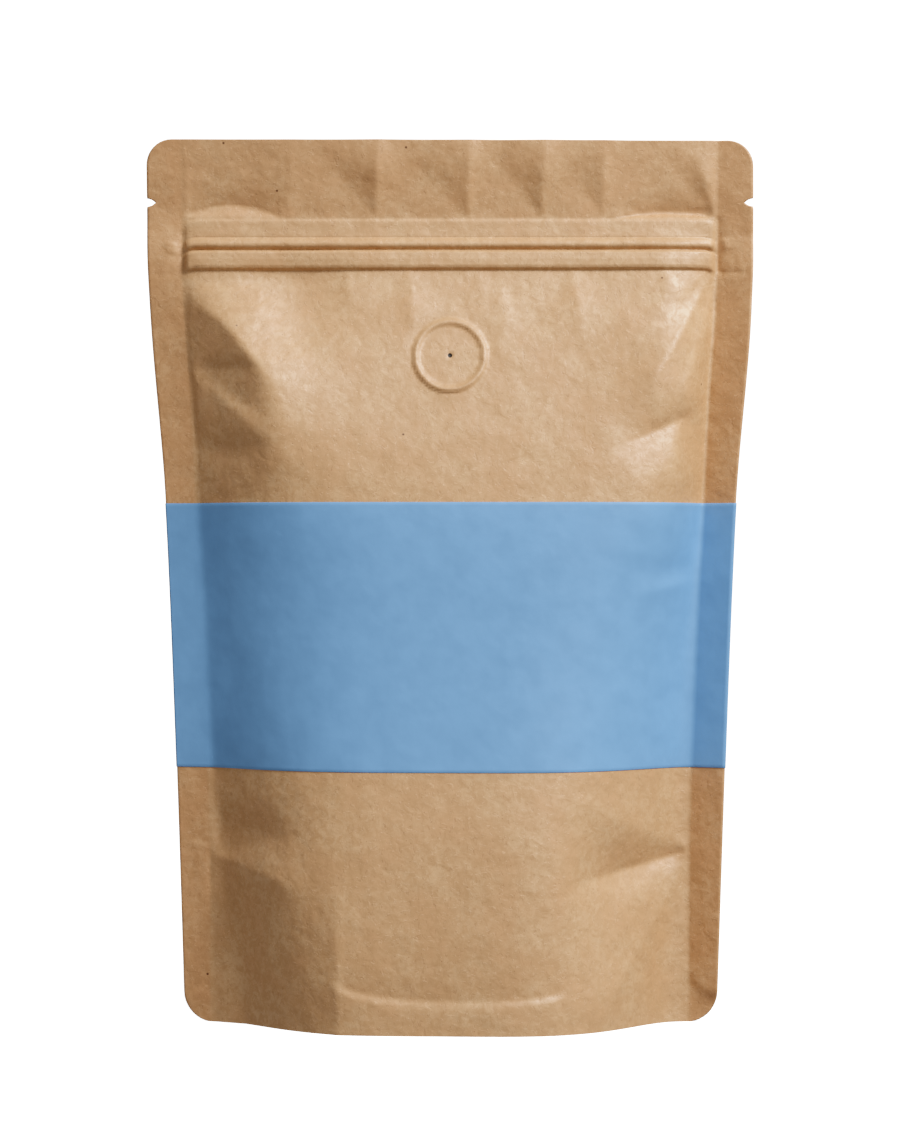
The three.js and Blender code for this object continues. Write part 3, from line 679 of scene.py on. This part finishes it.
def tinted(colour, tint):
    """A colour multiplied by a tint for each channel, or by one number."""
    return tuple((np.array(colour) * tint).clip(0, 1).tolist())


# The paper's patterns, as noise whose blotches have a size in millimetres.
PAPER_CLOUD = {"size_mm": 10, "detail": 3, "roughness": 0.6}
PAPER_MOTTLE = {"size_mm": 2.2, "detail": 4, "roughness": 0.7, "distortion": 0.6}
PAPER_GRAIN = {"size_mm": 0.42, "detail": 3, "roughness": 0.7}
DARK_FIBRES = {"size_mm": 1.5, "squeeze": (1, 1, 0.4), "turn": (0, 25, 0), "width": 0.03}
LIGHT_FIBRES = {"size_mm": 1.3, "squeeze": (0.45, 1, 1), "turn": (0, 20, 15), "width": 0.03}
# Specks: their spacing and radius in millimetres.
PAPER_SPECKS = {"fine speck": (2.9, 0.2), "large speck": (13, 0.42)}
# What each pattern does to the paper's mean colour; the pinhole's near-black is painted shade, for the dark
# inside the hole.
PAPER_TINTS = {
    "cloud low": (0.96, 0.90, 0.86), "cloud high": (1.04, 1.08, 1.10), "mottle": (0.86, 0.815, 0.75),
    "dark fibre": (0.66, 0.6, 0.55), "light fibre": (1.25, 1.3, 1.4), "grain": (0.8, 0.77, 0.72),
    "fine speck": (0.5, 0.42, 0.35), "large speck": (0.2, 0.16, 0.13), "pinhole": (0.02, 0.02, 0.02),
}
# How strongly each pattern shows.
PAPER_SHARES = {
    "mottle": 0.85, "dark fibre": 0.5, "light fibre": 0.5, "grain": 0.24, "fine speck": 0.7,
    "large speck": 0.95,
}
SEALED_TINT = (1.0, 0.93, 0.89)  # sealed film is a warmer brown
# The paper's relief, from crumples to fibres: noise, and how far it stands out in millimetres.
PAPER_RELIEF = [
    ({"size_mm": 8, "detail": 2, "roughness": 0.5}, 0.6),
    ({"size_mm": 2.8, "detail": 2, "roughness": 0.5, "distortion": 0.8}, 0.14),
    ({"size_mm": 0.7, "detail": 1}, 0.012),
]
FIBRE_RELIEF = 0.022


def kraft_finish(colours):
    """Kraft paper: clouded brown pulp with light and dark fibres, specks, and a softly crumpled surface,
    plus a near-black disc painted as the shade inside the valve's pinhole.
    """
    finish = Finish("kraft paper")
    tint = {name: tinted(colours.kraft, factors) for name, factors in PAPER_TINTS.items()}
    cloud = finish.span(finish.noise(**PAPER_CLOUD), 0.34, 0.66)
    mottle = finish.span(finish.noise(**PAPER_MOTTLE), 0.38, 0.62)
    dark, light = fibres(finish, **DARK_FIBRES), fibres(finish, **LIGHT_FIBRES)
    grain = finish.span(finish.noise(**PAPER_GRAIN), 0.3, 0.7, 0.0, PAPER_SHARES["grain"])
    colour = finish.mix(cloud, tint["cloud low"], tint["cloud high"])
    for name, pattern in (("mottle", mottle), ("dark fibre", dark), ("light fibre", light)):
        shown = finish.math("MULTIPLY", pattern, PAPER_SHARES[name])
        colour = finish.mix(shown, colour, tint[name])
    colour = finish.mix(grain, colour, tint["grain"])
    for name, spots in PAPER_SPECKS.items():
        shown = finish.math("MULTIPLY", finish.specks(*spots), PAPER_SHARES[name])
        colour = finish.mix(shown, colour, tint[name])
    sealed = finish.mix(1.0, colour, SEALED_TINT, "MULTIPLY")
    colour = finish.mix(finish.attribute("sealed"), colour, sealed)
    # Painted shade: a near-black disc stands for the dark inside the valve's pinhole, which the mesh only
    # sinks a little
    colour = finish.mix(finish.painted_hole_shade(0, VALVE["z"], VALVE["pinhole"] / 2), colour, tint["pinhole"])
    finish.put(finish.surface.inputs["Base Color"], colour)
    finish.put(finish.surface.inputs["Roughness"], finish.span(mottle, 0, 1, 0.5, 0.58))
    finish.surface.inputs["Specular IOR Level"].default_value = 0.72
    normal = None
    for noise, distance in PAPER_RELIEF:
        normal = finish.bump(finish.noise(**noise), distance, normal)
    normal = finish.bump(finish.math("SUBTRACT", light, dark), FIBRE_RELIEF, normal)
    finish.link(normal, finish.surface.inputs["Normal"])
    return finish.material


def band_finish(colours):
    """Smooth matt ink: one blue with the faintest clouding and grain, over a film as even as a label."""
    finish = Finish("blue band")
    cloud = finish.span(finish.noise(6, detail=2, roughness=0.5), 0.3, 0.7)
    grain = finish.span(finish.noise(0.6, detail=2), 0.3, 0.7, 0.0, 0.10)
    colour = finish.mix(cloud, tinted(colours.band, 0.965), tinted(colours.band, 1.035))
    finish.put(finish.surface.inputs["Base Color"], finish.mix(grain, colour, tinted(colours.band, 0.9)))
    finish.put(finish.surface.inputs["Roughness"], finish.span(cloud, 0, 1, 0.56, 0.62))
    finish.surface.inputs["Specular IOR Level"].default_value = 0.5
    normal = finish.bump(finish.noise(9, detail=2), 0.24)
    finish.link(finish.bump(finish.noise(0.9, detail=2), 0.012, normal), finish.surface.inputs["Normal"])
    return finish.material


def floor_finish(colours, glow):
    """A pale, even studio sweep with the faintest grain, which glows a little."""
    finish = Finish("studio floor")
    cloud = finish.span(finish.noise(120, detail=2), 0.3, 0.7)
    colour = finish.mix(cloud, tinted(colours.floor, 0.99), tinted(colours.floor, 1.0))
    finish.put(finish.surface.inputs["Base Color"], colour)
    finish.surface.inputs["Roughness"].default_value = 0.9
    finish.surface.inputs["Specular IOR Level"].default_value = 0.1
    finish.surface.inputs["Emission Color"].default_value = (1, 1, 1, 1)
    finish.surface.inputs["Emission Strength"].default_value = glow
    return finish.material


# ------------------------------------------------------------------ settings


PICTURE_HEIGHT = 1125  # of the photograph, in pixels
PIXELS_PER_MM = 3.822  # at the pouch's middle plane


class PouchSizes(bpy.types.PropertyGroup):
    """How fine the grids are, and how thick the band is"""

    front_step: FloatProperty(
        name="Front cell", description="Size of a cell of the front panel's grid",
        default=0.62 * MM, min=0.3 * MM, max=5 * MM, unit="LENGTH", precision=5)
    back_step: FloatProperty(
        name="Back cell", description="Size of a cell of the back panel's grid",
        default=0.95 * MM, min=0.3 * MM, max=5 * MM, unit="LENGTH", precision=5)
    band_step: FloatProperty(
        name="Band cell", description="Size of a cell of the band's grid",
        default=0.8 * MM, min=0.3 * MM, max=5 * MM, unit="LENGTH", precision=5)
    band_rise: FloatProperty(
        name="Band thickness", description="How far the band stands off the film",
        default=0.16 * MM, min=0.05 * MM, max=1 * MM, unit="LENGTH", precision=5)


class PouchColours(bpy.types.PropertyGroup):
    """The colours of the paper, the band and the floor"""

    kraft: FloatVectorProperty(
        name="Kraft", description="Mean colour of the kraft paper",
        subtype="COLOR", size=3, min=0, max=1, default=(0.512, 0.298, 0.165))
    band: FloatVectorProperty(
        name="Band", description="Colour of the band",
        subtype="COLOR", size=3, min=0, max=1, default=(0.145, 0.296, 0.558))
    floor: FloatVectorProperty(
        name="Floor", description="Colour of the studio floor",
        subtype="COLOR", size=3, min=0, max=1, default=(0.86, 0.86, 0.86))


class PouchStudio(bpy.types.PropertyGroup):
    """The camera's place and the light"""

    camera_distance: FloatProperty(
        name="Camera distance", description="From the lens to the pouch's middle plane",
        default=0.86, min=0.3, max=5, unit="LENGTH")
    camera_height: FloatProperty(
        name="Camera height", description="Height of the level camera over the floor",
        default=0.12, min=0, max=2, unit="LENGTH")
    frame_height: FloatProperty(
        name="Frame height", description="Height of the picture at the pouch's middle plane",
        default=PICTURE_HEIGHT / PIXELS_PER_MM * MM, min=0.05, max=5, unit="LENGTH")
    key_power: FloatProperty(
        name="Key light", description="Power of the large soft light at the upper right",
        default=33.5, min=0, max=1000, unit="POWER")
    fill: FloatProperty(
        name="Fill light", description="Brightness of the room's even light",
        default=0.392, min=0, max=10)
    glow: FloatProperty(
        name="Table glow", description="Brightness of the lit table and backdrop",
        default=1.6, min=0, max=10)


# ------------------------------------------------------------------ operators


def settings(context):
    """The scene's sizes, colours and studio settings."""
    scene = context.scene
    return scene.pouch_sizes, scene.pouch_colours, scene.pouch_studio


def shared(name, maker, colours):
    """The finish of that name, made once."""
    return bpy.data.materials.get(name) or maker(colours)


class POUCH_OT_panels(bpy.types.Operator):
    """Build the front and back panels of the film with their side fins and sealed top"""

    bl_idname = "pouch.panels"
    bl_label = "Film Panels"

    def execute(self, context):
        sizes, colours, _ = settings(context)
        kraft = shared("kraft paper", kraft_finish, colours)
        points, faces = front_panel_mesh(sizes.front_step / MM)
        make_piece("front_panel", points, faces, kraft, ["pouch"])
        points, faces = back_panel_mesh(sizes.back_step / MM)
        make_piece("back_panel", points, faces, kraft, ["pouch"])
        return {"FINISHED"}


class POUCH_OT_gusset(bpy.types.Operator):
    """Build the folded web between the panels at the bottom"""

    bl_idname = "pouch.gusset"
    bl_label = "Bottom Gusset"

    def execute(self, context):
        _, colours, _ = settings(context)
        kraft = shared("kraft paper", kraft_finish, colours)
        points, faces = gusset_mesh()
        make_piece("bottom_gusset", points, faces, kraft, ["pouch"])
        return {"FINISHED"}


class POUCH_OT_band(bpy.types.Operator):
    """Build the coloured band round the pouch"""

    bl_idname = "pouch.band"
    bl_label = "Band"

    def execute(self, context):
        sizes, colours, _ = settings(context)
        blue = shared("blue band", band_finish, colours)
        points, faces = wrap_mesh(sizes.band_step / MM, sizes.band_rise / MM)
        make_piece("wrap_band", points, faces, blue, ["band"])
        return {"FINISHED"}


class POUCH_OT_studio(bpy.types.Operator):
    """Set up the floor, the soft light and the camera"""

    bl_idname = "pouch.studio"
    bl_label = "Studio"

    def execute(self, context):
        _, colours, studio = settings(context)
        add_floor(colours, studio)
        add_lights(context.scene, studio)
        add_camera(context.scene, studio)
        return {"FINISHED"}


class POUCH_PT_sidebar(bpy.types.Panel):
    """Lists the pouch's pieces and settings"""

    bl_idname = "POUCH_PT_sidebar"
    bl_label = "Coffee Pouch"
    bl_space_type = "VIEW_3D"
    bl_region_type = "UI"
    bl_category = "Pouch"

    def draw(self, context):
        layout = self.layout
        for operator in OPERATORS:
            layout.operator(operator.bl_idname)
        for group in settings(context):
            column = layout.column()
            for name in group.bl_rna.properties.keys():
                if name not in ("rna_type", "name"):
                    column.prop(group, name)


# ------------------------------------------------------------------ gusset and band


def gusset_mesh():
    """The skirts' inner faces and the web between them: level in the middle, curved up to both seals.

    Each section along Y runs from the front's lower edge up to the seal, over the web, and down the back.
    """
    wall = GUSSET["wall"]
    x = np.linspace(-1, 1, GUSSET_CELLS["across"] + 1)[:, None] * GUSSET["half_width"]
    seal = np.minimum(seal_height(x), GUSSET["fold"])
    sag = GUSSET["sag"] * np.maximum(0, GUSSET["free"] - seal)
    middle = np.maximum(GUSSET["lowest"], seal - sag)
    share = np.linspace(0, 1, GUSSET_CELLS["web"] + 1)[None, :]
    out = np.clip((np.abs(2 * share - 1) - GUSSET["level"]) / (1 - GUSSET["level"]), 0, 1)
    front, back = front_y(x, seal) + wall, back_y(x, seal) - wall
    web_y, web_z = front + (back - front) * share, middle + (seal - middle) * out**2
    rise = seal * np.linspace(0, 1, GUSSET_CELLS["skirt"] + 1)[None, :-1]
    across = np.repeat(x, rise.shape[1], axis=1)
    floor = 0 * x
    grid = np.concatenate([
        np.stack([x, front_y(x, floor), floor], axis=-1),
        np.stack([across, front_y(across, rise) + wall, rise], axis=-1),
        np.stack([np.repeat(x, share.size, axis=1), web_y, web_z], axis=-1),
        np.stack([across, back_y(across, rise) - wall, rise], axis=-1)[:, ::-1],
        np.stack([x, back_y(x, floor), floor], axis=-1),
    ], axis=1)
    return grid.reshape(-1, 3), quads(*grid.shape[:2])


def wrap_mesh(step, rise):
    """A ring that follows the film at a small rise, with its edges turned in: rows up, columns round."""
    inside = stepped((BAND_BOTTOM + WRAP["edge"], BAND_TOP - WRAP["edge"], step))
    z = np.concatenate([[BAND_BOTTOM] * 2, inside, [BAND_TOP] * 2])[:, None]
    off = np.full_like(z, rise)
    off[[0, -1]] = -WRAP["tuck"]
    off[[1, -2]] = rise * WRAP["shoulder"]
    x = places_across(curve(SEAM, z), curve(EDGE, z), WRAP_HALF, step)
    z = np.repeat(z, x.shape[1], axis=1)

    def stand(side, sign):
        """The panel's place along Y, plus the rise times the root of 1 + slope squared."""
        reach, steepest = WRAP["reach"], WRAP["steepest"]
        slope = (side(x + reach, z) - side(x - reach, z)) / (2 * reach)
        return side(x, z) + sign * off * np.hypot(1, np.clip(slope, -steepest, steepest))

    front = np.stack([x, stand(front_y, -1), z], axis=-1)
    back = np.stack([x, stand(back_y, 1), z], axis=-1)[:, ::-1]
    loops = [front, outer_turn(front[:, -1], off, 1), back, outer_turn(front[:, 0], off, -1), front[:, :1]]
    grid = np.concatenate(loops, axis=1)
    return grid.reshape(-1, 3), quads(*grid.shape[:2])


def outer_turn(edge, off, sign):
    """One more column, half way round the fin's edge."""
    move = np.concatenate([sign * (off + FILM_EDGE), FILM / 2 + off, 0 * off], axis=1)
    return (edge + move)[:, None]


# ------------------------------------------------------------------ studio


# The floor and backdrop, and the key light, in metres.
SWEEP = {"front": -2.5, "reach": 1.6, "radius": 0.7, "rise": 2.4, "half_width": 3.5, "rows": 25}
KEY = {"side": 0.55, "colour": (1.0, 0.995, 0.97), "from": (0.52, -0.52, 0.68), "distance": 1.5, "aim": 0.12}
ROOM_COLOUR = (1.02, 0.99, 0.935, 1)
TONE_CURVE = {"top": 1.206, "drop": 1.463, "power": 0.4}
# Amounts of light at which the tone curve has its points.
TONES = (0.02, 0.05, 0.09, 0.14, 0.2, 0.3, 0.43, 0.6, 0.8, 1.0, 1.3, 1.62)


def add_floor(colours, studio):
    """A floor that curves up behind the pouch into a backdrop: a level run, a quarter round, a rise.

    It glows a little, as a lit table does, and throws no light back on the pouch.
    """
    reach, radius = SWEEP["reach"], SWEEP["radius"]
    turn = np.radians(np.linspace(0, 90, SWEEP["rows"]))
    y = np.concatenate([[SWEEP["front"]], reach + radius * np.sin(turn), [reach + radius]])
    z = np.concatenate([[0.0], radius * (1 - np.cos(turn)), [SWEEP["rise"]]])
    x = np.repeat([[-SWEEP["half_width"], SWEEP["half_width"]]], y.size, axis=0)
    grid = np.stack([x, np.repeat(y[:, None], 2, axis=1), np.repeat(z[:, None], 2, axis=1)], axis=-1)
    mesh = bpy.data.meshes.new("floor")
    mesh.from_pydata(grid.reshape(-1, 3).tolist(), [], quads(y.size, 2).tolist())
    mesh.shade_smooth()
    mesh.materials.append(floor_finish(colours, studio.glow))
    floor = bpy.data.objects.new("floor", mesh)
    bpy.context.scene.collection.objects.link(floor)
    floor.visible_diffuse = False
    floor.visible_glossy = False


def add_lights(scene, studio):
    """A large soft light at the upper right in front, and even light from all round."""
    data = bpy.data.lights.new("key light", "AREA")
    data.shape = "RECTANGLE"
    data.size, data.size_y = KEY["side"], KEY["side"]
    data.energy = studio.key_power
    data.color = KEY["colour"]
    key = bpy.data.objects.new("key light", data)
    away = np.array(KEY["from"])
    key.location = (away * KEY["distance"] + [0, 0, KEY["aim"]]).tolist()
    key.rotation_euler = (math.acos(away[2] / np.linalg.norm(away)), 0, math.atan2(away[0], -away[1]))
    scene.collection.objects.link(key)
    world = bpy.data.worlds.new("studio")
    scene.world = world
    world.use_nodes = True
    tree = world.node_tree
    tree.nodes.clear()
    output = tree.nodes.new("ShaderNodeOutputWorld")
    even = tree.nodes.new("ShaderNodeBackground")
    even.inputs["Color"].default_value = ROOM_COLOUR
    even.inputs["Strength"].default_value = studio.fill
    tree.links.new(even.outputs["Background"], output.inputs["Surface"])
    film_response(scene.view_settings)


def film_response(view):
    """Film-like tones, steep in the shadows and soft in the highlights: y = exp(top - drop / x ** power)."""
    view.view_transform = "Standard"
    view.look = "None"
    view.use_curve_mapping = True
    curves = view.curve_mapping
    curves.use_clip = False
    curves.extend = "EXTRAPOLATED"
    curve_at = TONE_CURVE["top"] - TONE_CURVE["drop"] / np.array(TONES) ** TONE_CURVE["power"]
    shown = np.exp(curve_at).tolist()
    combined = curves.curves[3].points
    combined[0].location = (0, 0)
    combined[1].location = (TONES[-1], shown[-1])
    for tone, value in zip(TONES[:-1], shown[:-1]):
        combined.new(tone, value)
    curves.update()


def add_camera(scene, studio):
    """A level camera in front of the pouch whose frame has the picture's height at the middle plane."""
    data = bpy.data.cameras.new("camera")
    data.sensor_width = 36
    data.lens = data.sensor_width * studio.camera_distance / studio.frame_height
    camera = bpy.data.objects.new("camera", data)
    camera.location = (0, -studio.camera_distance, studio.camera_height)
    camera.rotation_euler = (math.pi / 2, 0, 0)
    scene.collection.objects.link(camera)
    scene.camera = camera


# ------------------------------------------------------------------ registration and running

OPERATORS = (POUCH_OT_panels, POUCH_OT_gusset, POUCH_OT_band, POUCH_OT_studio)
GROUPS = {"pouch_sizes": PouchSizes, "pouch_colours": PouchColours, "pouch_studio": PouchStudio}


def register():
    """Add the settings, the operators and the panel."""
    for item in (*GROUPS.values(), *OPERATORS, POUCH_PT_sidebar):
        bpy.utils.register_class(item)
    for name, group in GROUPS.items():
        setattr(bpy.types.Scene, name, PointerProperty(type=group))


def unregister():
    """Take them out again, in the other order."""
    for name in GROUPS:
        delattr(bpy.types.Scene, name)
    for item in reversed((*GROUPS.values(), *OPERATORS, POUCH_PT_sidebar)):
        bpy.utils.unregister_class(item)


def main():
    """Build every piece and the studio."""
    register()
    bpy.ops.pouch.panels()
    bpy.ops.pouch.gusset()
    bpy.ops.pouch.band()
    bpy.ops.pouch.studio()


if __name__ == "__main__":
    main()
